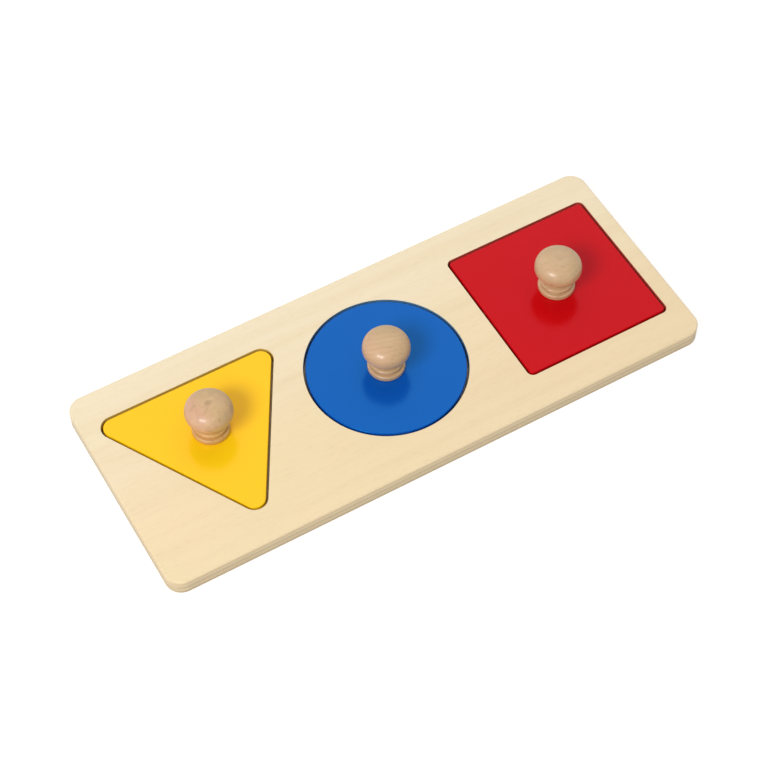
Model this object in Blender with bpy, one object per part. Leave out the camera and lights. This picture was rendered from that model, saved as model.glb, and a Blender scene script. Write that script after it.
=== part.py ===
"""Knobbed wooden shape puzzle: a long board with a triangle, a disc and a square that lift out.

Metres, +Z up. The origin is the middle of the board's underside, +X runs along the board from
the triangle to the square, and -Y is the front edge. Each shape is flush with the board's top,
rests on the backing board, and carries a turned knob held by a countersunk screw from below.
"""
import math

import bmesh
import bpy

MM = 0.001

# The three shapes, measured without their clearance
TRIANGLE_SIDE = 99.3 * MM
TRIANGLE_CORNER_RADIUS = 5.4 * MM
CIRCLE_DIAMETER = 80.2 * MM
SQUARE_SIDE = 80.0 * MM
SQUARE_CORNER_RADIUS = 2.2 * MM
SHAPE_ARRIS = 0.5 * MM

# Clearances
SHAPE_CLEARANCE = 1.2 * MM
REST_GAP = 0.3 * MM
SCREW_CLEARANCE = 0.3 * MM

# The board: a frame with three cut-outs, glued on a thin backing
FRAME_THICKNESS = 6.5 * MM
BACKING_THICKNESS = 3.0 * MM
GLUE_LINE = 0.3 * MM
TRIANGLE_END_MARGIN = 9.2 * MM
SQUARE_END_MARGIN = 9.1 * MM
SIDE_MARGIN = 17.9 * MM
TRIANGLE_TO_CIRCLE = 4.3 * MM
CIRCLE_TO_SQUARE = 17.3 * MM
BOARD_CORNER_RADIUS = 8.5 * MM
BOARD_ARRIS = 0.7 * MM

# The knobs, from the foot up
TRIANGLE_KNOB_FORWARD = 1.5 * MM
FOOT_DIAMETER = 19.0 * MM
FOOT_THICKNESS = 3.0 * MM
FOOT_ROUNDING = 1.0 * MM
GROOVE_DIAMETER = 14.4 * MM
GROOVE_WIDTH = 0.9 * MM
BEAD_DIAMETER = 16.8 * MM
BEAD_THICKNESS = 2.3 * MM
NECK_DIAMETER = 12.0 * MM
NECK_HEIGHT = 3.8 * MM
FLARE_HEIGHT = 3.6 * MM
CAP_DIAMETER = 24.0 * MM
CAP_LIP_HEIGHT = 1.7 * MM
CAP_LIP_INSET = 0.8 * MM
CAP_DOME_HEIGHT = 7.9 * MM
CAP_FULLNESS = 2.5

# The screws
SCREW_DIAMETER = 3.5 * MM
SCREW_LENGTH = 16.0 * MM
SCREW_POINT_LENGTH = 3.0 * MM
HEAD_DIAMETER = 6.6 * MM
HEAD_RIM = 0.3 * MM
HEAD_SUNK = 0.4 * MM
CROSS_LENGTH = 3.4 * MM
CROSS_WIDTH = 0.9 * MM
CROSS_DEPTH = 1.1 * MM
PILOT_SPARE_DEPTH = 0.8 * MM

# Facets
CORNER_STEPS = 6
CIRCLE_STEPS = 72
KNOB_STEPS = 36
SCREW_STEPS = 24
ARRIS_STEPS = 3
SMOOTH_ANGLE = math.radians(40)

# Heights above the underside
FRAME_BOTTOM = BACKING_THICKNESS + GLUE_LINE
FRAME_TOP = FRAME_BOTTOM + FRAME_THICKNESS
SHAPE_BOTTOM = BACKING_THICKNESS + REST_GAP
SHAPE_THICKNESS = FRAME_TOP - SHAPE_BOTTOM
CUT_OVERRUN = 2.0 * MM


# Colours and materials

def linear(red, green, blue):
    """Linear colour of an sRGB colour given in 0 to 255."""
    def channel(value):
        share = value / 255
        return share / 12.92 if share <= 0.04045 else ((share + 0.055) / 1.055) ** 2.4
    return (channel(red), channel(green), channel(blue), 1.0)


def make_material(name, colour, roughness, metallic=0.0):
    material = bpy.data.materials.new(name)
    material.use_nodes = True
    shader = material.node_tree.nodes["Principled BSDF"]
    shader.inputs["Base Color"].default_value = colour
    shader.inputs["Roughness"].default_value = roughness
    shader.inputs["Metallic"].default_value = metallic
    material.diffuse_color = colour
    return material


# Outlines, anticlockwise, as (x, y) points

def circle_outline(radius, steps=CIRCLE_STEPS):
    angles = (2 * math.pi * step / steps for step in range(steps))
    return [(radius * math.cos(angle), radius * math.sin(angle)) for angle in angles]


def rounded_polygon(corners, radius, grow=0.0):
    """Convex polygon with round corners, grown outwards all round by a clearance."""
    points = []
    count = len(corners)
    for index, (x, y) in enumerate(corners):
        before = corners[index - 1]
        after = corners[(index + 1) % count]
        arriving = math.atan2(y - before[1], x - before[0])
        leaving = math.atan2(after[1] - y, after[0] - x)
        turn = (leaving - arriving) % (2 * math.pi)
        inward = arriving + turn / 2 + math.pi / 2
        reach = radius / math.cos(turn / 2)
        centre_x = x + reach * math.cos(inward)
        centre_y = y + reach * math.sin(inward)
        for step in range(CORNER_STEPS + 1):
            angle = arriving - math.pi / 2 + turn * step / CORNER_STEPS
            points.append((centre_x + (radius + grow) * math.cos(angle),
                           centre_y + (radius + grow) * math.sin(angle)))
    return points


def triangle_outline(grow=0.0):
    """Equilateral triangle about its centroid, flat side at the back and a corner at the front."""
    reach = TRIANGLE_SIDE / math.sqrt(3)
    angles = (math.radians(degrees) for degrees in (-90, 30, 150))
    corners = [(reach * math.cos(angle), reach * math.sin(angle)) for angle in angles]
    return rounded_polygon(corners, TRIANGLE_CORNER_RADIUS, grow)


def rectangle_outline(length, width, radius, grow=0.0):
    corners = [(-length / 2, -width / 2), (length / 2, -width / 2),
               (length / 2, width / 2), (-length / 2, width / 2)]
    return rounded_polygon(corners, radius, grow)


def square_outline(grow=0.0):
    return rectangle_outline(SQUARE_SIDE, SQUARE_SIDE, SQUARE_CORNER_RADIUS, grow)


def disc_outline(grow=0.0):
    return circle_outline(CIRCLE_DIAMETER / 2 + grow)


def span(outline, axis):
    """Lowest and highest coordinate of an outline along one axis."""
    values = [point[axis] for point in outline]
    return min(values), max(values)


# Layout: the recesses in a row, each centred across the board

TRIANGLE_RECESS = triangle_outline(SHAPE_CLEARANCE)
CIRCLE_RECESS = disc_outline(SHAPE_CLEARANCE)
SQUARE_RECESS = square_outline(SHAPE_CLEARANCE)

TRIANGLE_LEFT, TRIANGLE_RIGHT = span(TRIANGLE_RECESS, 0)
TRIANGLE_FRONT, TRIANGLE_BACK = span(TRIANGLE_RECESS, 1)
TRIANGLE_HEIGHT = TRIANGLE_BACK - TRIANGLE_FRONT
CIRCLE_HALF = CIRCLE_DIAMETER / 2 + SHAPE_CLEARANCE
SQUARE_HALF = SQUARE_SIDE / 2 + SHAPE_CLEARANCE

ROW_LENGTH = (TRIANGLE_RIGHT - TRIANGLE_LEFT + TRIANGLE_TO_CIRCLE + 2 * CIRCLE_HALF
              + CIRCLE_TO_SQUARE + 2 * SQUARE_HALF)
BOARD_LENGTH = ROW_LENGTH + TRIANGLE_END_MARGIN + SQUARE_END_MARGIN
BOARD_WIDTH = max(TRIANGLE_HEIGHT, 2 * CIRCLE_HALF, 2 * SQUARE_HALF) + 2 * SIDE_MARGIN

TRIANGLE_X = -BOARD_LENGTH / 2 + TRIANGLE_END_MARGIN - TRIANGLE_LEFT
TRIANGLE_Y = -(TRIANGLE_FRONT + TRIANGLE_BACK) / 2
CIRCLE_X = TRIANGLE_X + TRIANGLE_RIGHT + TRIANGLE_TO_CIRCLE + CIRCLE_HALF
SQUARE_X = CIRCLE_X + CIRCLE_HALF + CIRCLE_TO_SQUARE + SQUARE_HALF


# Building blocks

def add_object(name, bm, material=None):
    mesh = bpy.data.meshes.new(name)
    bm.to_mesh(mesh)
    bm.free()
    mesh.shade_smooth()
    mesh.set_sharp_from_angle(angle=SMOOTH_ANGLE)
    if material:
        mesh.materials.append(material)
    thing = bpy.data.objects.new(name, mesh)
    bpy.context.collection.objects.link(thing)
    return thing


def add_plate(name, outline, bottom, top, material=None, arris=0.0, arris_below=0.0):
    """Flat plate of an outline, with its upper and lower edges rounded if asked."""
    bm = bmesh.new()
    floor = bm.faces.new([bm.verts.new((x, y, bottom)) for x, y in outline])
    floor.normal_flip()
    raised = bmesh.ops.extrude_face_region(bm, geom=[floor], use_keep_orig=True)["geom"]
    lifted = [item for item in raised if isinstance(item, bmesh.types.BMVert)]
    bmesh.ops.translate(bm, vec=(0, 0, top - bottom), verts=lifted)
    bmesh.ops.recalc_face_normals(bm, faces=bm.faces)
    for height, rounding in ((top, arris), (bottom, arris_below)):
        if rounding:
            rim = [edge for edge in bm.edges
                   if all(abs(vert.co.z - height) < rounding / 10 for vert in edge.verts)]
            bmesh.ops.bevel(bm, geom=rim, offset=rounding, segments=ARRIS_STEPS, profile=0.5,
                            affect="EDGES", material=-1)
    return add_object(name, bm, material)


def add_turning(name, profile, steps, material=None):
    """Solid turned about its Z axis from (radius, height) points that start and end on the axis."""
    bm = bmesh.new()
    verts = [bm.verts.new((radius, 0, height)) for radius, height in profile]
    edges = [bm.edges.new(pair) for pair in zip(verts, verts[1:])]
    bmesh.ops.spin(bm, geom=verts + edges, cent=(0, 0, 0), axis=(0, 0, 1),
                   angle=2 * math.pi, steps=steps, use_merge=True)
    bmesh.ops.remove_doubles(bm, verts=bm.verts, dist=1e-6)
    bmesh.ops.recalc_face_normals(bm, faces=bm.faces)
    return add_object(name, bm, material)


def make_cutter(cutter):
    cutter.hide_render = True
    cutter.display_type = "WIRE"
    return cutter


def cut_away(solid, cutter):
    cut = solid.modifiers.new("cut " + cutter.name, "BOOLEAN")
    cut.operation = "DIFFERENCE"
    cut.solver = "EXACT"
    cut.object = cutter


def quarter(centre, width, height, start, steps):
    """Quarter ellipse of (radius, height) points, from start degrees to 90 degrees further."""
    points = []
    for step in range(steps + 1):
        angle = math.radians(start + 90 * step / steps)
        points.append((centre[0] + width * math.cos(angle), centre[1] + height * math.sin(angle)))
    return points


# Board

def make_board(ply):
    frame = add_plate("frame_board", rectangle_outline(BOARD_LENGTH, BOARD_WIDTH, BOARD_CORNER_RADIUS),
                      FRAME_BOTTOM, FRAME_TOP, ply, arris=BOARD_ARRIS)
    add_plate("backing_board", rectangle_outline(BOARD_LENGTH, BOARD_WIDTH, BOARD_CORNER_RADIUS),
              0, BACKING_THICKNESS, ply, arris_below=BOARD_ARRIS)
    recesses = (("triangle", TRIANGLE_RECESS, TRIANGLE_X, TRIANGLE_Y),
                ("circle", CIRCLE_RECESS, CIRCLE_X, 0),
                ("square", SQUARE_RECESS, SQUARE_X, 0))
    for shape, outline, x, y in recesses:
        cutter = add_plate(shape + "_recess_cutter", outline,
                           FRAME_BOTTOM - CUT_OVERRUN, FRAME_TOP + CUT_OVERRUN)
        cutter.location = (x, y, 0)
        cut_away(frame, make_cutter(cutter))


# Shapes, knobs and screws: each is modelled about its own axis, from its underside up

HEAD_CONE_HEIGHT = (HEAD_DIAMETER - SCREW_DIAMETER) / 2
SCREW_IN_KNOB = HEAD_SUNK + SCREW_LENGTH - SHAPE_THICKNESS - REST_GAP


def screw_profile():
    """Screw with its head down: flat face, rim, countersunk cone, shank and point."""
    shank = SCREW_DIAMETER / 2
    return [(0, 0),
            (HEAD_DIAMETER / 2, 0),
            (HEAD_DIAMETER / 2, HEAD_RIM),
            (shank, HEAD_RIM + HEAD_CONE_HEIGHT),
            (shank, SCREW_LENGTH - SCREW_POINT_LENGTH),
            (0, SCREW_LENGTH)]


def screw_hole_profile():
    """Countersunk hole through a shape, parallel to the screw with the clearance all round."""
    hole = SCREW_DIAMETER / 2 + SCREW_CLEARANCE
    mouth = HEAD_DIAMETER / 2 + SCREW_CLEARANCE
    cone_start = HEAD_SUNK + HEAD_RIM + SCREW_CLEARANCE * (math.sqrt(2) - 1)
    return [(0, -CUT_OVERRUN),
            (mouth, -CUT_OVERRUN),
            (mouth, cone_start),
            (hole, cone_start + mouth - hole),
            (hole, SHAPE_THICKNESS + CUT_OVERRUN),
            (0, SHAPE_THICKNESS + CUT_OVERRUN)]


def knob_profile():
    """Turned knob from its pilot hole round the foot, groove, bead, neck and cap to the crown."""
    foot = FOOT_DIAMETER / 2
    bead = BEAD_DIAMETER / 2
    neck = NECK_DIAMETER / 2
    cap = CAP_DIAMETER / 2
    pilot = SCREW_DIAMETER / 2 + SCREW_CLEARANCE
    pilot_depth = SCREW_IN_KNOB + PILOT_SPARE_DEPTH
    groove_top = FOOT_THICKNESS + GROOVE_WIDTH
    bead_middle = groove_top + BEAD_THICKNESS / 2
    bead_top = groove_top + BEAD_THICKNESS
    flare_bottom = bead_top + NECK_HEIGHT
    flare_top = flare_bottom + FLARE_HEIGHT
    rim = flare_top + CAP_LIP_HEIGHT
    lip = cap - CAP_LIP_INSET

    points = [(0, pilot_depth), (pilot, pilot_depth), (pilot, 0)]
    points += quarter((foot - FOOT_ROUNDING, FOOT_ROUNDING), FOOT_ROUNDING, FOOT_ROUNDING, -90, 2)
    points += quarter((foot - FOOT_ROUNDING, FOOT_THICKNESS - FOOT_ROUNDING),
                      FOOT_ROUNDING, FOOT_ROUNDING, 0, 2)
    points += [(GROOVE_DIAMETER / 2, FOOT_THICKNESS + GROOVE_WIDTH / 2)]
    bead_depth = bead - GROOVE_DIAMETER / 2
    points += quarter((bead - bead_depth, bead_middle), bead_depth, BEAD_THICKNESS / 2, -90, 2)
    points += quarter((neck, bead_middle), bead - neck, BEAD_THICKNESS / 2, 0, 3)[1:]
    points += [(neck + (lip - neck) * (1 - math.cos(turn)), flare_bottom + FLARE_HEIGHT * math.sin(turn))
               for turn in (math.radians(22.5 * step) for step in range(5))]
    points += quarter((cap - CAP_LIP_INSET, rim), CAP_LIP_INSET, CAP_LIP_HEIGHT, -90, 2)[1:]
    dome_steps = 8
    for step in range(1, dome_steps):
        turn = math.pi / 2 * step / dome_steps
        points.append((cap * math.cos(turn) ** (2 / CAP_FULLNESS),
                       rim + CAP_DOME_HEIGHT * math.sin(turn) ** (2 / CAP_FULLNESS)))
    points.append((0, rim + CAP_DOME_HEIGHT))
    return points


def cross_outline():
    """Cross slot of a screw head, as a plus sign."""
    long, short = CROSS_LENGTH / 2, CROSS_WIDTH / 2
    arm = [(long, -short), (long, short), (short, short)]
    points = []
    for turn in range(4):
        cosine, sine = round(math.cos(turn * math.pi / 2)), round(math.sin(turn * math.pi / 2))
        points += [(x * cosine - y * sine, x * sine + y * cosine) for x, y in arm]
    return points


def make_shape(shape, outline, x, y, knob_forward, paint, wood, steel):
    """One puzzle piece: the painted shape, its knob and its screw, on an empty at its own axis."""
    axis = bpy.data.objects.new(shape + "_axis", None)
    axis.location = (x, y, SHAPE_BOTTOM)
    bpy.context.collection.objects.link(axis)

    insert = add_plate(shape + "_insert", outline, 0, SHAPE_THICKNESS, paint,
                       arris=SHAPE_ARRIS, arris_below=SHAPE_ARRIS)
    hole = make_cutter(add_turning(shape + "_screw_hole_cutter", screw_hole_profile(), SCREW_STEPS))
    cut_away(insert, hole)

    knob = add_turning(shape + "_knob", knob_profile(), KNOB_STEPS, wood)
    screw = add_turning(shape + "_screw", screw_profile(), SCREW_STEPS, steel)
    cross = make_cutter(add_plate(shape + "_cross_cutter", cross_outline(), -CUT_OVERRUN, CROSS_DEPTH))
    cut_away(screw, cross)

    for thing, height in ((hole, 0), (knob, SHAPE_THICKNESS + REST_GAP),
                          (screw, HEAD_SUNK), (cross, HEAD_SUNK)):
        thing.location = (0, -knob_forward, height)
    for thing in (insert, hole, knob, screw, cross):
        thing.parent = axis


def build():
    for thing in list(bpy.data.objects):
        bpy.data.objects.remove(thing, do_unlink=True)
    ply = make_material("birch_ply", linear(240, 216, 177), 0.55)
    wood = make_material("knob_wood", linear(208, 174, 130), 0.5)
    steel = make_material("screw_steel", linear(170, 172, 176), 0.35, 1.0)
    yellow = make_material("yellow_paint", linear(252, 208, 48), 0.3)
    blue = make_material("blue_paint", linear(32, 103, 190), 0.3)
    red = make_material("red_paint", linear(205, 33, 42), 0.3)
    make_board(ply)
    make_shape("triangle", triangle_outline(), TRIANGLE_X, TRIANGLE_Y, TRIANGLE_KNOB_FORWARD,
               yellow, wood, steel)
    make_shape("circle", disc_outline(), CIRCLE_X, 0, 0, blue, wood, steel)
    make_shape("square", square_outline(), SQUARE_X, 0, 0, red, wood, steel)


build()
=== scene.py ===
"""Knobbed shape puzzle: a plywood board whose triangle, disc and square lift out by turned knobs."""

import math

import bmesh
import bpy
from mathutils import Matrix, Vector


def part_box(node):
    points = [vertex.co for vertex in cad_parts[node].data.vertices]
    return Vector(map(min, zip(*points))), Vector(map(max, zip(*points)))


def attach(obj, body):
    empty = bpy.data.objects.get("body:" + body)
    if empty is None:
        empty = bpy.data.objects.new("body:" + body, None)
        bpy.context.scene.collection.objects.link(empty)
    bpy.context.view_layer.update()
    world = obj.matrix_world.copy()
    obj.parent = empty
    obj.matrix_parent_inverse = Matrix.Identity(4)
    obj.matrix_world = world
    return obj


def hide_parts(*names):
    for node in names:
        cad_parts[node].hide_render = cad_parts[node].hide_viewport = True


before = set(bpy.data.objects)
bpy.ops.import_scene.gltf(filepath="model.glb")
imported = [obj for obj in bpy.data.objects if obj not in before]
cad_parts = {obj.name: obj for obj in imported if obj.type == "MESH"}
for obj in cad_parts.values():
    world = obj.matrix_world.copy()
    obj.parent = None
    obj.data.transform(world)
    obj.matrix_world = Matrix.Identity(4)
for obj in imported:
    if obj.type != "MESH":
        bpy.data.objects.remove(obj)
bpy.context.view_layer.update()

MM = 0.001


# Backing board
#
# A thin three-ply birch board that closes the cut-outs from below. It is sawn to the same outline as
# the frame above, glued under it, sanded round at its lower edge and lacquered clear.

BOARD_CORNER_RADIUS = 8.5 * MM
BOARD_ARRIS = 0.7 * MM
SEAM_EASING = 0.22 * MM
BACKING_THICKNESS = 3.0 * MM
BACKING_PLIES = 3
CORNER_STEPS = 20
ARRIS_STEPS = 6
EASING_STEPS = 3
SHADING_ANGLE = math.radians(35)

BIRCH_PALE = (0.85, 0.69, 0.42, 1)
BIRCH_WARM = (0.88, 0.685, 0.43, 1)
BIRCH_CLOUDS = (0.84, 0.675, 0.425, 1)
# Painted sheen: the paler, whiter colour laid on towards the boards' far side
PAINTED_FAR_SHEEN = (0.88, 0.765, 0.545, 1)
BIRCH_FIGURE = (0.80, 0.62, 0.375, 1)
BIRCH_STREAKS = (0.73, 0.53, 0.29, 1)
BIRCH_FIBRES = (0.7, 0.5, 0.27, 1)
BIRCH_PORES = (0.42, 0.27, 0.13, 1)
PALE_END_GRAIN = (0.70, 0.545, 0.345, 1)
DARK_END_GRAIN = (0.56, 0.405, 0.235, 1)
GLUE_BROWN = (0.40, 0.27, 0.15, 1)
# Dark streaks of painted shade on the cut-out walls
PAINTED_GAP_SHADE = (0.03, 0.015, 0.008, 1)
PLY_WANDER = 0.07
GRAIN_BOW = 6 * MM
FAR_SHEEN_WANDER = 30 * MM
BIRCH_RELIEF = 0.05 * MM


def plate_corners(node, radius):
    """Centres of a rectangular plate's four round corners, anticlockwise from the front left."""
    low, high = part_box(node)
    left, right = low.x + radius, high.x - radius
    front, back = low.y + radius, high.y - radius
    return [Vector(corner) for corner in ((left, front), (right, front), (right, back), (left, back))]


def arc_outline(bm, centres, radius, height, steps=CORNER_STEPS):
    """Closed outline round the corners of an even shape, anticlockwise: arcs joined by straights."""
    turn = math.radians(360) / len(centres)
    arcs = []
    for index, centre in enumerate(centres):
        arriving = centre - centres[index - 1]
        outward = Vector((arriving.y, -arriving.x)).normalized() * radius
        first = bm.verts.new((*(centre + outward), height))
        swept = bmesh.ops.spin(bm, geom=[first], cent=(*centre, height), axis=(0, 0, 1), angle=turn,
                               steps=steps)
        last = next(item for item in swept["geom_last"] if isinstance(item, bmesh.types.BMVert))
        arcs.append((first, last))
    for index, (first, last) in enumerate(arcs):
        bm.edges.new((last, arcs[(index + 1) % len(arcs)][0]))


def raise_faces(bm, faces, height):
    """Extrudes faces straight up into a closed solid, and gives back its raised points."""
    raised = bmesh.ops.extrude_face_region(bm, geom=faces, use_keep_orig=True)["geom"]
    tops = [item for item in raised if isinstance(item, bmesh.types.BMVert)]
    bmesh.ops.translate(bm, vec=(0, 0, height), verts=tops)
    bmesh.ops.recalc_face_normals(bm, faces=bm.faces[:])
    return tops


def thicken(bm, thickness):
    """Fills the outlines drawn so far, and raises them to a solid plate."""
    bmesh.ops.triangle_fill(bm, edges=bm.edges[:], use_beauty=True, normal=(0, 0, 1))
    inner_edges = [edge for edge in bm.edges if len(edge.link_faces) == 2]
    bmesh.ops.dissolve_limit(bm, angle_limit=math.radians(0.5), verts=bm.verts[:], edges=inner_edges)
    raise_faces(bm, bm.faces[:], thickness)


def round_rim(bm, height, radius, steps=ARRIS_STEPS, wanted=lambda point: True):
    """Rounds the sharp edges that lie at one height, all of them or those that are wanted."""
    rim = [edge for edge in bm.edges
           if all(abs(vert.co.z - height) < 1e-6 and wanted(vert.co) for vert in edge.verts)
           and len(edge.link_faces) == 2 and edge.calc_face_angle() > math.radians(60)]
    bmesh.ops.bevel(bm, geom=rim, offset=radius, segments=steps, profile=0.5, affect="EDGES",
                    material=-1, clamp_overlap=False)


def finish_piece(name, bm, finishes, body, node):
    """Turns the mesh into a piece that rides on its body and stands for its CAD node."""
    mesh = bpy.data.meshes.new(name)
    bm.to_mesh(mesh)
    bm.free()
    mesh.shade_smooth()
    mesh.set_sharp_from_angle(angle=SHADING_ANGLE)
    for finish in finishes:
        mesh.materials.append(finish)
    piece = bpy.data.objects.new(name, mesh)
    bpy.context.collection.objects.link(piece)
    piece.modifiers.new("even shading", "WEIGHTED_NORMAL").keep_sharp = True
    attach(piece, body)
    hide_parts(node)


def add_node(tree, kind, wired=None, **settings):
    """One shader node, with its settings, and its sockets set to a value or wired to another node."""
    node = tree.nodes.new("ShaderNode" + kind)
    for name, value in settings.items():
        setattr(node, name, value)
    for socket, value in (wired or {}).items():
        if isinstance(value, bpy.types.NodeSocket):
            tree.links.new(value, node.inputs[socket])
        else:
            node.inputs[socket].default_value = value
    return node


def calculate(tree, operation, *values):
    return add_node(tree, "Math", dict(enumerate(values)), operation=operation).outputs[0]


def times(tree, one, other):
    return calculate(tree, "MULTIPLY", one, other)


def plus(tree, one, other):
    return calculate(tree, "ADD", one, other)


def weighed_sum(tree, *parts):
    """Sum of patterns, each times its own weight."""
    total = 0.0
    for pattern, weight in parts:
        total = calculate(tree, "MULTIPLY_ADD", pattern, weight, total)
    return total


def combine_vectors(tree, operation, one, other):
    return add_node(tree, "VectorMath", {0: one, 1: other}, operation=operation).outputs[0]


def split(tree, vector):
    return add_node(tree, "SeparateXYZ", {0: vector}).outputs


def join(tree, x, y, z):
    return add_node(tree, "CombineXYZ", {0: x, 1: y, 2: z}).outputs[0]


def noise(tree, vector, scale, detail=2.0, roughness=0.5, distortion=0.0):
    """Noise whose scale is one number, or three where it is stretched differently along each axis."""
    if isinstance(scale, tuple):
        vector, scale = combine_vectors(tree, "MULTIPLY", vector, scale), 1.0
    wired = {"Vector": vector, "Scale": scale, "Detail": detail, "Roughness": roughness,
             "Distortion": distortion}
    return add_node(tree, "TexNoise", wired).outputs["Fac"]


def spread(tree, value, low, high, to_low=0.0, to_high=1.0, smooth=True):
    """A value's range low to high, mapped to another range and held there."""
    wired = {"Value": value, "From Min": low, "From Max": high, "To Min": to_low, "To Max": to_high}
    node = add_node(tree, "MapRange", wired, clamp=True,
                    interpolation_type="SMOOTHSTEP" if smooth else "LINEAR")
    return node.outputs["Result"]


def both_ways(tree, pattern, reach):
    """A pattern of 0 to 1 as a shift of up to that reach, back or forth."""
    return spread(tree, pattern, 0, 1, -reach, reach, False)


def mix_value(tree, share, first, second):
    return add_node(tree, "Mix", {0: share, 2: first, 3: second}).outputs[0]


def mix_colour(tree, share, first, second, blend="MIX"):
    node = add_node(tree, "Mix", {0: share, 6: first, 7: second}, data_type="RGBA", blend_type=blend)
    return node.outputs[2]


def lay_over(tree, colour, *layers):
    """A colour with others laid over it in turn, each by the share that comes with it."""
    for share, tint in layers:
        colour = mix_colour(tree, share, colour, tint)
    return colour


def new_group(name, inputs):
    """Shader group that takes a place, a facing and its own inputs, with its two end nodes."""
    group = bpy.data.node_groups.new(name, "ShaderNodeTree")
    inputs = {"Position": "Vector", "Facing": "Vector", **inputs}
    outputs = {"Colour": "Color", "Roughness": "Float", "Height": "Float"}
    for names, side in ((inputs, "INPUT"), (outputs, "OUTPUT")):
        for socket, kind in names.items():
            group.interface.new_socket(name=socket, in_out=side, socket_type="NodeSocket" + kind)
    return group, group.nodes.new("NodeGroupInput").outputs, group.nodes.new("NodeGroupOutput").inputs


def close_group(group, result, colour, roughness, height):
    """Wires a group's results to its outputs."""
    for socket, value in (("Colour", colour), ("Roughness", roughness), ("Height", height)):
        group.links.new(value, result[socket])
    return group


def new_finish(name, group, values, height, **shader_values):
    """Material whose group gives colour, roughness and relief, the relief's height in metres."""
    material = bpy.data.materials.new(name)
    material.use_nodes = True
    tree = material.node_tree
    shader = tree.nodes["Principled BSDF"]
    place = add_node(tree, "TexCoord")
    surface = add_node(tree, "Group", node_tree=group)
    tree.links.new(place.outputs["Object"], surface.inputs["Position"])
    tree.links.new(place.outputs["Normal"], surface.inputs["Facing"])
    for socket, value in values.items():
        surface.inputs[socket].default_value = value
    bump = add_node(tree, "Bump", {"Height": surface.outputs["Height"], "Distance": height})
    tree.links.new(surface.outputs["Colour"], shader.inputs["Base Color"])
    tree.links.new(surface.outputs["Roughness"], shader.inputs["Roughness"])
    tree.links.new(bump.outputs["Normal"], shader.inputs["Normal"])
    for socket, value in shader_values.items():
        shader.inputs[socket.replace("_", " ")].default_value = value
    return material


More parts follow.
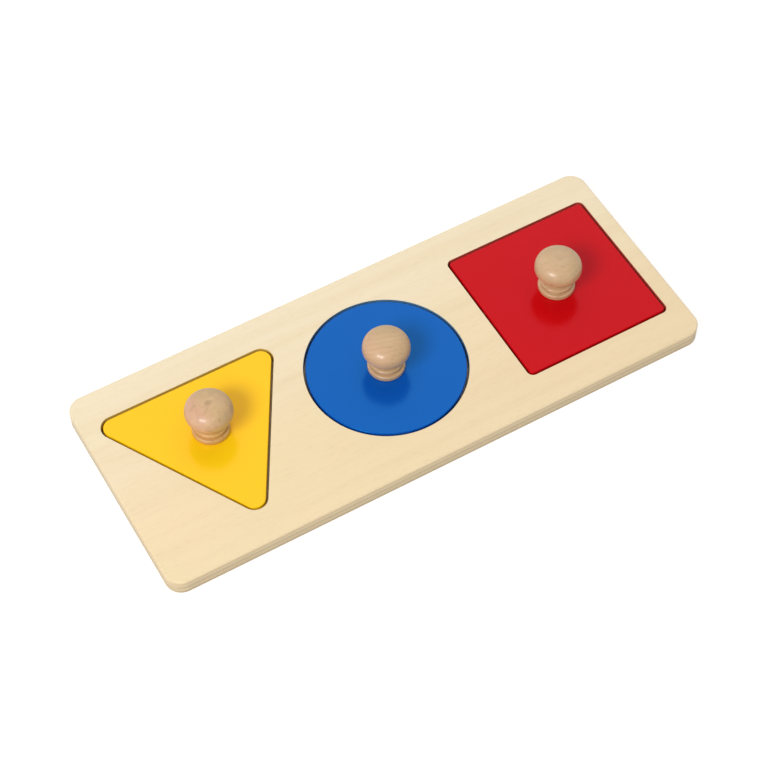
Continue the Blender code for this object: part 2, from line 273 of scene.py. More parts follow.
def birch_ply_group():
    """Birch plywood as a solid: plies that run along X and across it by turns, with glue between."""
    group, given, result = new_group("birch plywood", {
        "Bottom": "Float", "Ply": "Float", "Plies": "Float", "Lowest Tone": "Float",
        "Highest Tone": "Float", "Stain": "Float", "Stain Colour": "Color"})
    place = split(group, given["Position"])
    facing = split(group, given["Facing"])

    # Which ply a point is in: outer faces count as inside their ply
    above_bottom = calculate(group, "SUBTRACT", place[2], given["Bottom"])
    depth = calculate(group, "DIVIDE", above_bottom, given["Ply"])
    wander = noise(group, given["Position"], (35, 35, 0), detail=1)
    depth = plus(group, depth, both_ways(group, wander, PLY_WANDER))
    in_last_ply = calculate(group, "SUBTRACT", given["Plies"], 0.5)
    inside = calculate(group, "MINIMUM", calculate(group, "MAXIMUM", depth, 0.5), in_last_ply)
    number = calculate(group, "FLOOR", inside)
    across = calculate(group, "MODULO", number, 2.0)
    glue = spread(group, calculate(group, "PINGPONG", inside, 0.5), 0.035, 0.10, 1, 0)
    from_bottom = calculate(group, "DIVIDE", number, given["Plies"])

    # Grain follows each ply's own direction
    turned = join(group, place[1], place[0], place[2])
    along = add_node(group, "Mix", {0: across, 4: given["Position"], 5: turned},
                     data_type="VECTOR").outputs[1]
    end_x = calculate(group, "ABSOLUTE", facing[0])
    end_y = calculate(group, "ABSOLUTE", facing[1])
    end_grain = spread(group, mix_value(group, across, end_x, end_y), 0.35, 0.9)
    side = spread(group, calculate(group, "MAXIMUM", end_x, end_y), 0.5, 0.9)

    bow = both_ways(group, noise(group, along, (7, 16, 16), detail=1), GRAIN_BOW)
    bowed = combine_vectors(group, "ADD", along, join(group, 0.0, bow, 0.0))
    figure = noise(group, bowed, (5, 95, 95), detail=3, roughness=0.55)
    streaks = noise(group, bowed, (38, 640, 640), detail=3, roughness=0.6)
    fibres = noise(group, bowed, (170, 3600, 3600), detail=2, roughness=0.6)
    pores = spread(group, noise(group, bowed, (260, 2300, 2300), detail=0), 0.70, 0.80)
    blotches = noise(group, along, (16, 26, 26), detail=3, roughness=0.5)
    clouds = noise(group, given["Position"], (9, 11, 9), detail=1)
    speckle = noise(group, given["Position"], 1900, detail=2, roughness=0.7)
    # Painted sheen: the boards turn paler and whiter towards their far side
    far_sheen_reach = plus(group, place[1], both_ways(group, blotches, FAR_SHEEN_WANDER))

    bare = mix_colour(group, spread(group, blotches, 0.3, 0.7), BIRCH_PALE, BIRCH_WARM)
    cut_end = mix_colour(group, spread(group, speckle, 0.35, 0.7), PALE_END_GRAIN, DARK_END_GRAIN)
    colour = lay_over(
        group, bare,
        (spread(group, clouds, 0.35, 0.65, 0, 0.6), BIRCH_CLOUDS),
        (spread(group, far_sheen_reach, -0.035, 0.06, 0, 0.8), PAINTED_FAR_SHEEN),
        (spread(group, figure, 0.42, 0.72, 0, 0.38), BIRCH_FIGURE),
        (spread(group, streaks, 0.45, 0.8, 0, 0.13), BIRCH_STREAKS),
        (spread(group, fibres, 0.5, 0.85, 0, 0.18), BIRCH_FIBRES),
        (times(group, pores, 0.09), BIRCH_PORES),
        (times(group, end_grain, 0.5), cut_end))
    # The side faces go darker ply by ply towards the bottom
    tone = mix_value(group, from_bottom, given["Lowest Tone"], given["Highest Tone"])
    tone = mix_value(group, side, 1.0, tone)
    grey = add_node(group, "CombineColor", {0: tone, 1: tone, 2: tone}).outputs[0]
    toned = mix_colour(group, 1.0, colour, grey, "MULTIPLY")
    # Painted bounce light and painted shade for the cut-out walls: the shape's hue, broken by dark
    # streaks
    painted_gap_light = mix_colour(group, spread(group, streaks, 0.3, 0.7, 0, 0.22), given["Stain Colour"],
                       PAINTED_GAP_SHADE)
    colour = lay_over(group, toned, (times(group, glue, 0.08), GLUE_BROWN), (given["Stain"], painted_gap_light))

    rough_ends = times(group, speckle, end_grain)
    relief = weighed_sum(group, (fibres, 0.45), (streaks, 0.55), (pores, -0.5), (rough_ends, 1.2),
                         (glue, -0.5))
    dullness = plus(group, spread(group, streaks, 0.3, 0.8, 0.47, 0.56, False),
                    times(group, end_grain, 0.12))
    return close_group(group, result, colour, dullness, relief)


birch_ply = birch_ply_group()
backing_finish = new_finish(
    "backing birch ply", birch_ply,
    {"Bottom": 0.0, "Ply": BACKING_THICKNESS / BACKING_PLIES, "Plies": BACKING_PLIES,
     "Lowest Tone": 0.83, "Highest Tone": 0.87}, BIRCH_RELIEF)

backing = bmesh.new()
arc_outline(backing, plate_corners("backing_board", BOARD_CORNER_RADIUS), BOARD_CORNER_RADIUS, 0)
thicken(backing, BACKING_THICKNESS)
round_rim(backing, 0, BOARD_ARRIS)
round_rim(backing, BACKING_THICKNESS, SEAM_EASING, EASING_STEPS)
finish_piece("backing_ply", backing, [backing_finish], "board", "backing_board")


# Frame board
#
# The upper board, five-ply birch, with the three shapes routed right through it. It is glued down on
# the backing, its cut rims are eased with a fine paper and its outer edge is sanded round. The walls
# of the cut-outs are bare birch laid over with the hue of the shape that lies in them and dark streaks:
# painted bounce light and painted shade in the gap.

FRAME_PLIES = 5
SHAPE_CLEARANCE = 1.2 * MM
RIM_EASING = 0.12 * MM
TRIANGLE_CORNER_RADIUS = 5.4 * MM
SQUARE_CORNER_RADIUS = 2.2 * MM
SQUARE_CORNER_STEPS = 12
DISC_STEPS = 144
OUTER_BAND_ALONG = BOARD_CORNER_RADIUS * 0.45
OUTER_BAND_ACROSS = BOARD_CORNER_RADIUS * 0.9
FRAME_LOW, FRAME_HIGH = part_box("frame_board")
FRAME_TOP = FRAME_HIGH.z

# Painted bounce light: each cut-out wall takes the hue its painted shape throws into the gap
PAINTED_GAP_LIGHT = {"triangle": (0.68, 0.505, 0.07, 1), "circle": (0.022, 0.245, 0.455, 1),
               "square": (0.56, 0.024, 0.017, 1)}
PAINTED_GAP_LIGHT_SHARE = 0.88


def middle(node):
    low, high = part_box(node)
    return (low + high) / 2


def triangle_corners():
    """Centres of the triangle's three round corners, anticlockwise from the one at the front."""
    low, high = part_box("triangle_insert")
    reach = (high.y - low.y - TRIANGLE_CORNER_RADIUS * 2) * 2 / 3
    centroid = Vector(((low.x + high.x) / 2, high.y - TRIANGLE_CORNER_RADIUS - reach / 2))
    turns = (math.radians(degrees) for degrees in (-90, 30, 150))
    return [centroid + Vector((math.cos(turn), math.sin(turn))) * reach for turn in turns]


def draw_triangle(bm, height, clearance=0.0):
    arc_outline(bm, triangle_corners(), TRIANGLE_CORNER_RADIUS + clearance, height)


def draw_square(bm, height, clearance=0.0):
    arc_outline(bm, plate_corners("square_insert", SQUARE_CORNER_RADIUS),
                SQUARE_CORNER_RADIUS + clearance, height, SQUARE_CORNER_STEPS)


def draw_disc(bm, height, clearance=0.0):
    low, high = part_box("circle_insert")
    centre = middle("circle_insert")
    bmesh.ops.create_circle(bm, segments=DISC_STEPS, radius=(high.x - low.x) / 2 + clearance,
                            matrix=Matrix.Translation((centre.x, centre.y, height)))


def frame_ply_finish(name, lowest_tone, highest_tone, **painted_gap_light):
    """Five-ply birch at the frame's height, bare or laid over with painted bounce light and shade."""
    return new_finish(name, birch_ply, {
        "Bottom": BACKING_THICKNESS, "Ply": (FRAME_TOP - BACKING_THICKNESS) / FRAME_PLIES,
        "Plies": FRAME_PLIES, "Lowest Tone": lowest_tone, "Highest Tone": highest_tone,
        **{socket.replace("_", " "): value for socket, value in painted_gap_light.items()}}, BIRCH_RELIEF)


def on_outer_edge(point):
    """Whether a point lies in the outer edge's own band, which no cut-out reaches."""
    return (min(point.x - FRAME_LOW.x, FRAME_HIGH.x - point.x) < OUTER_BAND_ALONG
            or min(point.y - FRAME_LOW.y, FRAME_HIGH.y - point.y) < OUTER_BAND_ACROSS)


def cut_out_at(point):
    """Number, from the left, of the shape whose cut-out lies nearest along the board."""
    spans = [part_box(shape + "_insert") for shape in PAINTED_GAP_LIGHT]
    gaps = [max(near.x - point.x, point.x - far.x) for near, far in spans]
    return gaps.index(min(gaps))


frame_finish = frame_ply_finish("frame birch ply", 0.87, 1.16)
wall_finishes = [frame_ply_finish(shape + " cut-out wall", 0.9, 1.0, Stain=PAINTED_GAP_LIGHT_SHARE,
                                  Stain_Colour=painted_gap_light) for shape, painted_gap_light in PAINTED_GAP_LIGHT.items()]

framing = bmesh.new()
arc_outline(framing, plate_corners("frame_board", BOARD_CORNER_RADIUS), BOARD_CORNER_RADIUS,
            BACKING_THICKNESS)
for draw in (draw_triangle, draw_square, draw_disc):
    draw(framing, BACKING_THICKNESS, SHAPE_CLEARANCE)
thicken(framing, FRAME_TOP - BACKING_THICKNESS)
round_rim(framing, FRAME_TOP, RIM_EASING, EASING_STEPS, lambda point: not on_outer_edge(point))
round_rim(framing, FRAME_TOP, BOARD_ARRIS, wanted=on_outer_edge)
round_rim(framing, BACKING_THICKNESS, SEAM_EASING, EASING_STEPS, on_outer_edge)
for face in framing.faces:
    centre = face.calc_center_median()
    if abs(face.normal.z) < 0.95 and not on_outer_edge(centre):
        face.material_index = 1 + cut_out_at(centre)
finish_piece("frame_ply", framing, [frame_finish, *wall_finishes], "board", "frame_board")


# Shapes
#
# A triangle, a disc and a square sawn from the same plywood as the frame. Each is sanded round at its
# edges, sprayed with thick glossy paint on its top and sides, and drilled and countersunk from below,
# where the wood is bare.

SHAPE_ARRIS = 0.5 * MM
SCREW_DIAMETER = 3.5 * MM
SCREW_CLEARANCE = 0.3 * MM
HEAD_DIAMETER = 6.6 * MM
HEAD_RIM = 0.3 * MM
HEAD_SUNK = 0.4 * MM
HOLE_STEPS = 48
DRILL_OVERSHOOT = 2 * MM
GLOSS_ROUGHNESS = 0.17
PAINT_RELIEF = 0.008 * MM


def turn_solid(profile, axis, steps):
    """Solid of revolution about an upright axis, from (radius, height) points."""
    bm = bmesh.new()
    verts = [bm.verts.new((radius, 0, height)) for radius, height in profile]
    edges = [bm.edges.new(pair) for pair in zip(verts, verts[1:])]
    bmesh.ops.spin(bm, geom=verts + edges, cent=(0, 0, 0), axis=(0, 0, 1), angle=math.radians(360),
                   steps=steps, use_merge=True)
    bmesh.ops.remove_doubles(bm, verts=bm.verts[:], dist=1e-7)
    bmesh.ops.recalc_face_normals(bm, faces=bm.faces[:])
    bmesh.ops.translate(bm, vec=(axis.x, axis.y, 0), verts=bm.verts[:])
    return bm


def carve(bm, tool):
    """The first solid with the second one cut away from it. The tool may not cross itself."""
    stock = [bpy.data.meshes.new("stock"), bpy.data.meshes.new("tool")]
    things = []
    for mesh, source in zip(stock, (bm, tool)):
        source.to_mesh(mesh)
        source.free()
        things.append(bpy.data.objects.new(mesh.name, mesh))
        bpy.context.collection.objects.link(things[-1])
    cut = things[0].modifiers.new("cut", "BOOLEAN")
    cut.operation, cut.solver, cut.object = "DIFFERENCE", "EXACT", things[1]
    whole = things[0].evaluated_get(bpy.context.evaluated_depsgraph_get()).to_mesh()
    carved = bmesh.new()
    carved.from_mesh(whole)
    for thing in things:
        bpy.data.objects.remove(thing)
    for mesh in stock:
        bpy.data.meshes.remove(mesh)
    return carved


def screw_hole(axis, bottom, top):
    """Countersunk hole, parallel to the screw with a clearance all round."""
    hole = SCREW_DIAMETER / 2 + SCREW_CLEARANCE
    mouth = HEAD_DIAMETER / 2 + SCREW_CLEARANCE
    cone_start = bottom + HEAD_SUNK + HEAD_RIM + SCREW_CLEARANCE * (math.sqrt(2) - 1)
    below, above = bottom - DRILL_OVERSHOOT, top + DRILL_OVERSHOOT
    profile = [(0, below), (mouth, below), (mouth, cone_start), (hole, cone_start + mouth - hole),
               (hole, above), (0, above)]
    return turn_solid(profile, axis, HOLE_STEPS)


def paint_group():
    """Sprayed gloss paint: faint orange peel, a ghost of the grain below, thinner on the edges."""
    group, given, result = new_group(
        "gloss paint", {"Paint": "Color", "Thin Paint": "Color", "Gloss Roughness": "Float"})
    upright = calculate(group, "ABSOLUTE", split(group, given["Facing"])[2])
    edge = calculate(group, "PINGPONG", upright, 0.5)
    peel = noise(group, given["Position"], 620, detail=2, roughness=0.5)
    fine_peel = noise(group, given["Position"], 2400, detail=1)
    grain = noise(group, given["Position"], (30, 520, 520), detail=3, roughness=0.55)
    clouds = noise(group, given["Position"], 32, detail=2)
    handling = noise(group, given["Position"], 140, detail=4, roughness=0.65)
    dust = spread(group, noise(group, given["Position"], 1500, detail=0), 0.79, 0.86)

    thin = times(group, spread(group, edge, 0.12, 0.42), 0.5)
    thin = plus(group, thin, spread(group, clouds, 0.35, 0.75, 0, 0.22))
    thin = plus(group, thin, spread(group, grain, 0.5, 0.8, 0, 0.14))
    colour = mix_colour(group, thin, given["Paint"], given["Thin Paint"])
    relief = weighed_sum(group, (peel, 1.0), (fine_peel, 0.18), (grain, 0.5), (dust, 0.6))
    dullness = plus(group, given["Gloss Roughness"], spread(group, handling, 0.45, 0.8, 0, 0.07))
    dullness = plus(group, dullness, times(group, edge, 0.12))
    return close_group(group, result, colour, dullness, relief)


gloss_paint = paint_group()


def paint(name, colour, thin_colour, sheen_colour):
    return new_finish(name, gloss_paint, {"Paint": colour, "Thin Paint": thin_colour,
                                          "Gloss Roughness": GLOSS_ROUGHNESS}, PAINT_RELIEF,
                      Specular_IOR_Level=1.0, Specular_Tint=sheen_colour)


yellow_paint = paint("yellow gloss paint", colour=(0.985, 0.622, 0.006, 1),
                     thin_colour=(0.975, 0.65, 0.010, 1), sheen_colour=(1.0, 0.20, 0.15, 1))
blue_paint = paint("blue gloss paint", colour=(0.0028, 0.084, 0.436, 1),
                   thin_colour=(0.0045, 0.092, 0.46, 1), sheen_colour=(0.035, 0.34, 0.53, 1))
red_paint = paint("red gloss paint", colour=(0.58, 0.0024, 0.0044, 1),
                  thin_colour=(0.60, 0.0045, 0.0075, 1), sheen_colour=(0.22, 0.035, 0.065, 1))
bare_finish = frame_ply_finish("bare birch underside", 0.9, 1.0)


def cut_shape(shape, draw, finish, body):
    """One painted shape, drilled from below under its knob."""
    low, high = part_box(shape + "_insert")
    bm = bmesh.new()
    draw(bm, low.z)
    thicken(bm, high.z - low.z)
    round_rim(bm, high.z, SHAPE_ARRIS)
    round_rim(bm, low.z, SHAPE_ARRIS)
    axis = middle(shape + "_knob")
    bm = carve(bm, screw_hole(axis, low.z, high.z))
    for face in bm.faces:
        centre = face.calc_center_median()
        in_hole = (centre.xy - axis.xy).length < HEAD_DIAMETER and abs(face.normal.z) < 0.9
        if face.normal.z < -0.5 or in_hole:
            face.material_index = 1
    finish_piece("painted_" + shape, bm, [finish, bare_finish], body, shape + "_insert")


cut_shape("triangle", draw_triangle, yellow_paint, "triangle")
cut_shape("circle", draw_disc, blue_paint, "disc")
cut_shape("square", draw_square, red_paint, "square")


# Knobs
#
# Three equal beech knobs, turned on a lathe with a foot, a groove, a bead, a neck and a domed cap, and
# dipped in clear satin lacquer. Each stands on its shape and takes the screw from below.

FOOT_DIAMETER = 19.0 * MM
FOOT_THICKNESS = 3.0 * MM
FOOT_ROUNDING = 1.0 * MM
GROOVE_DIAMETER = 14.4 * MM
GROOVE_WIDTH = 0.9 * MM
GROOVE_ROUNDING = GROOVE_WIDTH * 0.42
BEAD_DIAMETER = 16.8 * MM
BEAD_THICKNESS = 2.3 * MM
NECK_DIAMETER = 12.0 * MM
NECK_HEIGHT = 3.8 * MM
FLARE_HEIGHT = 3.6 * MM
FLARE_STEPS = 16
CAP_LIP_HEIGHT = 1.7 * MM
CAP_LIP_INSET = 0.8 * MM
CAP_FULLNESS = 2.5
CAP_STEPS = 40
POLE_DIMPLE_DEPTH = 0.22 * MM
POLE_DIMPLE_RADIUS = 1.3 * MM
PILOT_DEPTH = 10.4 * MM
KNOB_STEPS = 120

BEECH_PALE = (0.555, 0.373, 0.194, 1)
BEECH_WARM = (0.595, 0.388, 0.212, 1)
# Rosy beech laid on the lamp's side of each knob as painted sheen
PAINTED_SHEEN_PINK = (0.65, 0.375, 0.265, 1)
BEECH_RINGS = (0.48, 0.30, 0.145, 1)
DARK_STREAKS = (0.42, 0.255, 0.125, 1)
PALE_STREAKS = (0.68, 0.50, 0.30, 1)
DARK_MOTTLING = (0.46, 0.30, 0.165, 1)
PALE_MOTTLING = (0.68, 0.47, 0.27, 1)
DARK_HEART = (0.33, 0.205, 0.11, 1)
BEECH_FIBRES = (0.40, 0.24, 0.12, 1)
RAY_FLECKS = (0.38, 0.225, 0.11, 1)
PITH_BEHIND = 31 * MM
PITH_BELOW = 12 * MM
HALF_RING = 1.15 * MM
RING_WARP = 1.6 * MM
PATCH_WANDER = 6 * MM
HEART_WANDER = 0.7 * MM
TOOL_MARKS_ACROSS = 2100
TOOL_MARKS_UP = 1500
BEECH_RELIEF = 0.02 * MM


def sweep(middle_radius, middle_height, width, height, start, steps):
    """Quarter of an ellipse of (radius, height) points, from start degrees on."""
    turns = (math.radians(start + 90 * step / steps) for step in range(steps + 1))
    return [(middle_radius + width * math.cos(turn), middle_height + height * math.sin(turn))
            for turn in turns]


def knob_profile(base, foot_bottom, crown, cap):
    """From the pilot hole round the foot, groove, bead, neck and cap to the crown."""
    foot, bead, neck = FOOT_DIAMETER / 2, BEAD_DIAMETER / 2, NECK_DIAMETER / 2
    groove = GROOVE_DIAMETER / 2
    lip = cap - CAP_LIP_INSET
    pilot = SCREW_DIAMETER / 2 + SCREW_CLEARANCE
    pilot_top = foot_bottom + PILOT_DEPTH
    foot_top = foot_bottom + FOOT_THICKNESS
    groove_top = foot_top + GROOVE_WIDTH
    bead_middle = groove_top + BEAD_THICKNESS / 2
    flare_bottom = groove_top + BEAD_THICKNESS + NECK_HEIGHT
    rim = flare_bottom + FLARE_HEIGHT + CAP_LIP_HEIGHT

    points = [(0, pilot_top), (pilot, pilot_top), (pilot, base)]
    for height, start in ((base + FOOT_ROUNDING, -90), (foot_top - FOOT_ROUNDING, 0)):
        points += sweep(foot - FOOT_ROUNDING, height, FOOT_ROUNDING, FOOT_ROUNDING, start, steps=6)
    points += sweep(groove + GROOVE_ROUNDING, foot_top + GROOVE_WIDTH / 2,
                    -GROOVE_ROUNDING, -GROOVE_ROUNDING, 0, steps=4)[::-1]
    points += sweep(groove, bead_middle, bead - groove, BEAD_THICKNESS / 2, -90, steps=8)[1:]
    points += sweep(neck, bead_middle, bead - neck, BEAD_THICKNESS / 2, 0, steps=9)[1:]
    for step in range(FLARE_STEPS + 1):
        turn = math.radians(90 * step / FLARE_STEPS)
        points.append((neck + (lip - neck) * (1 - math.cos(turn)),
                       flare_bottom + FLARE_HEIGHT * math.sin(turn)))
    points += sweep(lip, rim, CAP_LIP_INSET, CAP_LIP_HEIGHT, -90, steps=7)[1:]
    for step in range(1, CAP_STEPS):
        turn = math.radians(90 * step / CAP_STEPS)
        radius = cap * math.cos(turn) ** (2 / CAP_FULLNESS)
        height = rim + (crown - rim) * math.sin(turn) ** (2 / CAP_FULLNESS)
        if radius < POLE_DIMPLE_RADIUS:
            height -= POLE_DIMPLE_DEPTH * (1 - (radius / POLE_DIMPLE_RADIUS) ** 2) ** 2
        points.append((radius, height))
    points.append((0, crown - POLE_DIMPLE_DEPTH))
    return points


def distance(tree, one, other):
    """Straight distance from two distances at right angles."""
    squares = plus(tree, calculate(tree, "POWER", one, 2.0), calculate(tree, "POWER", other, 2.0))
    return calculate(tree, "SQRT", squares)


def turned_beech_group():
    """Turned beech as a solid: growth rings cut across, ray flecks, fine lathe rings, warm patches."""
    group, given, result = new_group("turned beech", {
        "Axis": "Vector", "Lean": "Vector", "Painted Sheen": "Float", "Mottle": "Float", "Heart": "Float",
        "Foot Tint": "Color"})
    centred = combine_vectors(group, "SUBTRACT", given["Position"], given["Axis"])
    leaning = add_node(group, "VectorRotate", {"Vector": centred, "Rotation": given["Lean"]},
                       rotation_type="EULER_XYZ").outputs[0]
    around = split(group, centred)
    place = split(group, leaning)

    # Growth rings: shells about a pith that lies well outside the knob
    from_pith = distance(group, plus(group, place[1], PITH_BEHIND), plus(group, place[2], PITH_BELOW))
    warp = noise(group, leaning, (60, 90, 90), detail=2)
    from_pith = plus(group, from_pith, both_ways(group, warp, RING_WARP))
    rings = spread(group, calculate(group, "PINGPONG", from_pith, HALF_RING), 0.1 * MM, HALF_RING)
    streaks = noise(group, leaning, (70, 900, 900), detail=3, roughness=0.6)
    fibres = noise(group, leaning, (260, 3600, 3600), detail=2)
    flecks = spread(group, noise(group, leaning, (330, 1700, 700), detail=0), 0.68, 0.78)
    mottling = noise(group, leaning, (150, 210, 170), detail=2, distortion=0.6)
    patches = noise(group, centred, 85, detail=2)

    # Lathe rings follow the knob's own axis
    radius = distance(group, around[0], around[1])
    tool_marks = weighed_sum(group, (radius, TOOL_MARKS_ACROSS), (around[2], TOOL_MARKS_UP))
    tool_marks = noise(group, join(group, tool_marks, 0.0, 0.0), 1.0, detail=2)

    # A rosy tone, beech's own, lies on the left side where the lamp falls, as painted sheen; the dark
    # heart lies round the axis, and mottled wood has faint stripes
    sideways = plus(group, around[0], both_ways(group, patches, -PATCH_WANDER))
    painted_sheen = times(group, given["Painted Sheen"], spread(group, sideways, -9 * MM, 2 * MM, 1, 0))
    striped = calculate(group, "SUBTRACT", 1.0, given["Mottle"])
    dark_mottling = spread(group, mottling, 0.5, 0.68, 0, 0.6)
    pale_mottling = spread(group, mottling, 0.32, 0.47, 0.55, 0)
    heart_shift = spread(group, mottling, 0.3, 0.7, HEART_WANDER, -HEART_WANDER, False)
    heart = spread(group, plus(group, radius, heart_shift), 0.6 * MM, 2.8 * MM, 1, 0)
    bare = mix_colour(group, spread(group, patches, 0.35, 0.65), BEECH_PALE, BEECH_WARM)
    colour = lay_over(
        group, bare,
        (painted_sheen, PAINTED_SHEEN_PINK),
        (times(group, times(group, rings, 0.26), striped), BEECH_RINGS),
        (times(group, spread(group, streaks, 0.45, 0.8, 0, 0.34), striped), DARK_STREAKS),
        (times(group, dark_mottling, given["Mottle"]), DARK_MOTTLING),
        (times(group, pale_mottling, given["Mottle"]), PALE_MOTTLING),
        (times(group, heart, given["Heart"]), DARK_HEART),
        (spread(group, fibres, 0.5, 0.85, 0, 0.2), BEECH_FIBRES),
        (times(group, flecks, 0.35), RAY_FLECKS),
        (spread(group, streaks, 0.2, 0.42, 0.25, 0), PALE_STREAKS))
    # Painted bounce light: the knob's lower part takes a tint of the paint it stands on
    foot = spread(group, around[2], 6 * MM, 10.5 * MM, 1, 0.25)
    foot_bounce_lit = mix_colour(group, 1.0, colour, given["Foot Tint"], "MULTIPLY")
    colour = mix_colour(group, foot, colour, foot_bounce_lit)
    relief = weighed_sum(group, (tool_marks, 0.7), (streaks, 0.5))
    dullness = spread(group, streaks, 0.3, 0.8, 0.40, 0.50, False)
    return close_group(group, result, colour, dullness, relief)


turned_beech = turned_beech_group()


def turn_knob(shape, body, lean, painted_sheen, mottle, heart, painted_foot_bounce):
    low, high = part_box(shape + "_knob")
    axis = middle(shape + "_knob")
    shape_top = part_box(shape + "_insert")[1].z
    profile = knob_profile(shape_top, low.z, high.z, (high.x - low.x) / 2)
    finish = new_finish(shape + " knob beech", turned_beech,
                        {"Axis": (axis.x, axis.y, low.z), "Painted Sheen": painted_sheen, "Mottle": mottle,
                         "Heart": heart, "Foot Tint": painted_foot_bounce,
                         "Lean": [math.radians(degrees) for degrees in lean]}, BEECH_RELIEF,
                        Coat_Weight=0.3, Coat_Roughness=0.16)
    finish_piece("turned_" + shape + "_knob", turn_solid(profile, axis, KNOB_STEPS), [finish], body,
                 shape + "_knob")


turn_knob("triangle", "triangle", lean=(35, 72, -15), painted_sheen=0.9, mottle=0.85, heart=0.6,
          painted_foot_bounce=(1.0, 0.91, 0.50, 1))
turn_knob("circle", "disc", lean=(12, 4, 27), painted_sheen=0.35, mottle=0.0, heart=0.0,
          painted_foot_bounce=(1.0, 0.99, 0.93, 1))
turn_knob("square", "square", lean=(-18, 30, 24), painted_sheen=0.1, mottle=0.4, heart=0.05,
          painted_foot_bounce=(1.03, 1.01, 1.0, 1))


# Screws
#
# Zinc-plated steel wood screws with a countersunk head and a cross recess, one up into each knob from
# below. The shank is plain under the head and has a rolled thread from there to the point.

SCREW_LENGTH = 16.0 * MM
FACE_EASING = 0.1 * MM
PLAIN_SHANK = 3.2 * MM
SHANK_TAPER = 0.5 * MM
CORE_DIAMETER = 2.5 * MM
POINT_LENGTH = 3.0 * MM
POINT_SHOULDER_WIDTH = 0.55
POINT_SHOULDER_HEIGHT = 0.45
SCREW_STEPS = 48

THREAD_PITCH = 1.4 * MM
THREAD_ROOT = 0.9
THREAD_FLANK = 0.3
THREAD_END = 0.02
THREAD_ABOVE_SHANK = 0.9 * MM
THREAD_BELOW_TIP = 1.4 * MM
THREAD_STEPS = 24

CROSS_LENGTH = 3.4 * MM
CROSS_WIDTH = 0.9 * MM
CROSS_DEPTH = 1.1 * MM
CROSS_TAPER = 0.62
CROSS_TURN = math.radians(20)


def screw_profile(bottom):
    """Core of the screw, head down: face, rim, cone, plain shank, thread core and point."""
    shank, core, head = SCREW_DIAMETER / 2, CORE_DIAMETER / 2, HEAD_DIAMETER / 2
    neck = HEAD_RIM + head - shank
    heights = [(0, 0), (head - FACE_EASING, 0), (head, FACE_EASING), (head, HEAD_RIM), (shank, neck),
               (shank, neck + PLAIN_SHANK), (core, neck + PLAIN_SHANK + SHANK_TAPER),
               (core, SCREW_LENGTH - POINT_LENGTH),
               (core * POINT_SHOULDER_WIDTH, SCREW_LENGTH - POINT_LENGTH * POINT_SHOULDER_HEIGHT),
               (0, SCREW_LENGTH)]
    return [(radius, bottom + height) for radius, height in heights]


def wind_thread(bm, axis, bottom, top):
    """Sharp ridge wound up the core, fading out at both ends."""
    core, crest = CORE_DIAMETER / 2, SCREW_DIAMETER / 2
    root, half = core * THREAD_ROOT, THREAD_PITCH * THREAD_FLANK
    turns = (top - bottom) / THREAD_PITCH
    steps = int(turns * THREAD_STEPS)
    before = set(bm.verts)
    ridge = [bm.verts.new((radius, 0, bottom + height))
             for radius, height in ((root, -half), (crest, 0), (root, half))]
    section = bm.faces.new(ridge)
    bmesh.ops.spin(bm, geom=[section, *section.edges, *ridge], cent=(0, 0, 0), axis=(0, 0, 1),
                   dvec=(0, 0, (top - bottom) / steps), angle=math.radians(360) * turns, steps=steps)
    wound = [vert for vert in bm.verts if vert not in before]
    for vert in wound:
        reach = math.hypot(vert.co.x, vert.co.y)
        from_start = vert.co.z - bottom + half
        from_end = top + half - vert.co.z
        fade = min(1.0, from_start / THREAD_PITCH, from_end / (THREAD_PITCH * 2))
        wanted = root + (reach - root) * max(THREAD_END, fade)
        vert.co.x *= wanted / reach
        vert.co.y *= wanted / reach
    bmesh.ops.translate(bm, vec=(axis.x, axis.y, 0), verts=wound)
    bmesh.ops.recalc_face_normals(bm, faces=bm.faces[:])


def cross_tool(axis, bottom):
    """The shape of the driver's tip: one plug with four blades that narrow as they go in."""
    bm = bmesh.new()
    tip, flank = CROSS_LENGTH / 2, CROSS_WIDTH / 2
    outline = []
    for quarter in range(4):
        turn = Matrix.Rotation(CROSS_TURN + math.radians(90 * quarter), 2)
        for corner in ((tip, -flank), (tip, flank), (flank, flank)):
            spot = turn @ Vector(corner)
            outline.append(bm.verts.new((axis.x + spot.x, axis.y + spot.y, bottom - CROSS_DEPTH)))
    for vert in raise_faces(bm, [bm.faces.new(outline)], CROSS_DEPTH * 2):
        vert.co.x = axis.x + (vert.co.x - axis.x) * CROSS_TAPER
        vert.co.y = axis.y + (vert.co.y - axis.y) * CROSS_TAPER
    return bm


def zinc_group():
    """Zinc-plated steel: faint crystalline mottling, scuffs and dull patches."""
    group, given, result = new_group("zinc plate", {})
    crystals = add_node(group, "TexVoronoi", {"Vector": given["Position"], "Scale": 2600.0})
    crystals = add_node(group, "RGBToBW", {0: crystals.outputs["Color"]}).outputs[0]
    patches = noise(group, given["Position"], 700, detail=3)
    scuffs = noise(group, given["Position"], (9000, 9000, 900), detail=2)
    colour = mix_colour(group, crystals, (0.47, 0.48, 0.50, 1), (0.56, 0.57, 0.585, 1))
    colour = mix_colour(group, spread(group, patches, 0.45, 0.75, 0, 0.4), colour,
                        (0.36, 0.355, 0.34, 1))
    dullness = spread(group, patches, 0.3, 0.75, 0.26, 0.44, False)
    return close_group(group, result, colour, dullness, scuffs)


zinc = new_finish("zinc-plated steel", zinc_group(), {}, 0.004 * MM, Metallic=1.0)

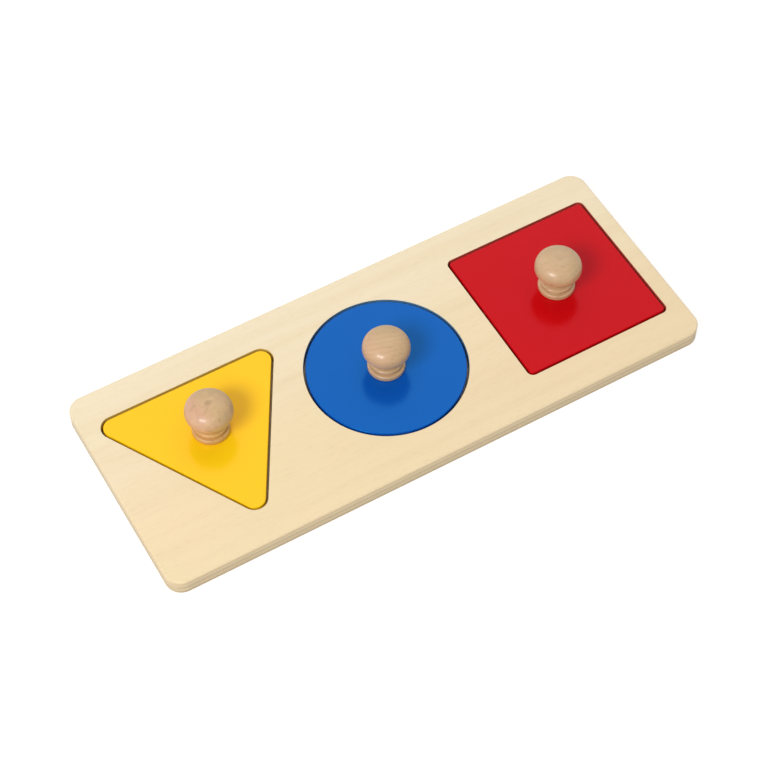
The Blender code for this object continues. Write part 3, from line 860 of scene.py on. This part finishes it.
for shape, body in (("triangle", "triangle"), ("circle", "disc_lifter"), ("square", "square")):
    head_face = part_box(shape + "_screw")[0].z
    axis = middle(shape + "_screw")
    shank_end = head_face + HEAD_RIM + (HEAD_DIAMETER - SCREW_DIAMETER) / 2 + PLAIN_SHANK
    screw = carve(turn_solid(screw_profile(head_face), axis, SCREW_STEPS), cross_tool(axis, head_face))
    wind_thread(screw, axis, shank_end + THREAD_ABOVE_SHANK, head_face + SCREW_LENGTH - THREAD_BELOW_TIP)
    finish_piece("wood_" + shape + "_screw", screw, [zinc], body, shape + "_screw")


# Table, lamps and camera
#
# A plain white table that keeps only the puzzle's contact shadow and glows to full white further out,
# a soft lamp from the left, a large softbox behind that the gloss reflects, an even white surround,
# and the photograph's viewpoint.

TABLE_SIZE = 8.0
TABLE_GAP = 0.05 * MM
TABLE_SHOWN = (0.33, 0.32, 0.305, 1)
TABLE_LIT = (0.66, 0.66, 0.66, 1)
TABLE_GLOW = 0.80
FULL_WHITE = 1.0
SHADOW_REACH = 0.35
SURROUND_LIGHT = 0.50

table_bm = bmesh.new()
bmesh.ops.create_grid(table_bm, x_segments=4, y_segments=4, size=TABLE_SIZE / 2,
                      matrix=Matrix.Translation((0, 0, -TABLE_GAP)))
table_mesh = bpy.data.meshes.new("table")
table_bm.to_mesh(table_mesh)
table_bm.free()
table = bpy.data.objects.new("table", table_mesh)
bpy.context.collection.objects.link(table)


def seen_directly(tree):
    """1 where the camera, a reflection or a clear body looks at it, 0 where only light reaches it."""
    path = add_node(tree, "LightPath").outputs
    seen = calculate(tree, "MAXIMUM", path["Is Camera Ray"], path["Is Glossy Ray"])
    return calculate(tree, "MAXIMUM", seen, path["Is Transmission Ray"])


table_white = bpy.data.materials.new("white table")
table_white.use_nodes = True
tree = table_white.node_tree
tree.nodes.remove(tree.nodes["Principled BSDF"])
from_middle = add_node(tree, "VectorMath", {0: add_node(tree, "TexCoord").outputs["Object"]},
                       operation="LENGTH").outputs["Value"]
glow_strength = spread(tree, from_middle, SHADOW_REACH, SHADOW_REACH * 3, TABLE_GLOW, FULL_WHITE)
glow = add_node(tree, "Emission", {"Color": (1, 1, 1, 1), "Strength": glow_strength})
faint = add_node(tree, "BsdfDiffuse", {"Color": TABLE_SHOWN})
shown = add_node(tree, "AddShader", {0: glow.outputs[0], 1: faint.outputs[0]})
lit = add_node(tree, "BsdfDiffuse", {"Color": TABLE_LIT})
both = add_node(tree, "MixShader", {0: seen_directly(tree), 1: lit.outputs[0], 2: shown.outputs[0]})
tree.links.new(both.outputs[0], tree.nodes["Material Output"].inputs["Surface"])
table_mesh.materials.append(table_white)

surround = bpy.data.worlds.new("white surround")
surround.use_nodes = True
tree = surround.node_tree
strength = spread(tree, seen_directly(tree), 0, 1, SURROUND_LIGHT, FULL_WHITE, False)
tree.links.new(strength, tree.nodes["Background"].inputs["Strength"])
tree.nodes["Background"].inputs["Color"].default_value = (1, 1, 1, 1)
bpy.context.scene.world = surround


def hang_lamp(name, towards, distance, width, depth, power):
    """Soft rectangular lamp that hangs in one direction from the board's middle and faces it."""
    light = bpy.data.lights.new(name, "AREA")
    light.shape, light.size, light.size_y = "RECTANGLE", width, depth
    light.energy = power
    lamp = bpy.data.objects.new(name, light)
    away = Vector(towards).normalized()
    facing = away.to_track_quat("Z", "Y").to_matrix().to_4x4()
    lamp.matrix_world = Matrix.Translation(away * distance) @ facing
    lamp.visible_camera = False
    bpy.context.collection.objects.link(lamp)


VIEW_YAW, VIEW_PITCH, VIEW_ROLL = (math.radians(degrees) for degrees in (-29.66, 55.43, -0.29))
VIEW_MIDDLE = Vector((-7.13, -8.62, 9.8)) * MM
VIEW_DISTANCE = 1.044
LENS_LENGTH = 99.25
SENSOR_WIDTH = 36.0
NEAREST_SEEN = 10 * MM

towards_camera = Vector((math.sin(VIEW_YAW) * math.cos(VIEW_PITCH),
                         -math.cos(VIEW_YAW) * math.cos(VIEW_PITCH), math.sin(VIEW_PITCH)))
mirrored_view = (-towards_camera.x, -towards_camera.y, towards_camera.z)
hang_lamp("left lamp", (-0.62, -0.30, 0.725), distance=2.0, width=0.75, depth=0.60, power=22.5)
hang_lamp("back softbox", mirrored_view, distance=1.0, width=0.95, depth=0.75, power=1.8)

lens = bpy.data.cameras.new("camera")
lens.lens = LENS_LENGTH
lens.sensor_width = SENSOR_WIDTH
lens.clip_start = NEAREST_SEEN
camera = bpy.data.objects.new("camera", lens)
level_right = Vector((0, 0, 1)).cross(towards_camera).normalized()
level_up = towards_camera.cross(level_right)
right = level_right * math.cos(VIEW_ROLL) + level_up * math.sin(VIEW_ROLL)
up = level_up * math.cos(VIEW_ROLL) - level_right * math.sin(VIEW_ROLL)
camera.matrix_world = Matrix.Translation(VIEW_MIDDLE + towards_camera * VIEW_DISTANCE) @ Matrix(
    (right, up, towards_camera)).transposed().to_4x4()
bpy.context.collection.objects.link(camera)
bpy.context.scene.camera = camera
bpy.context.scene.view_settings.view_transform = "Standard"
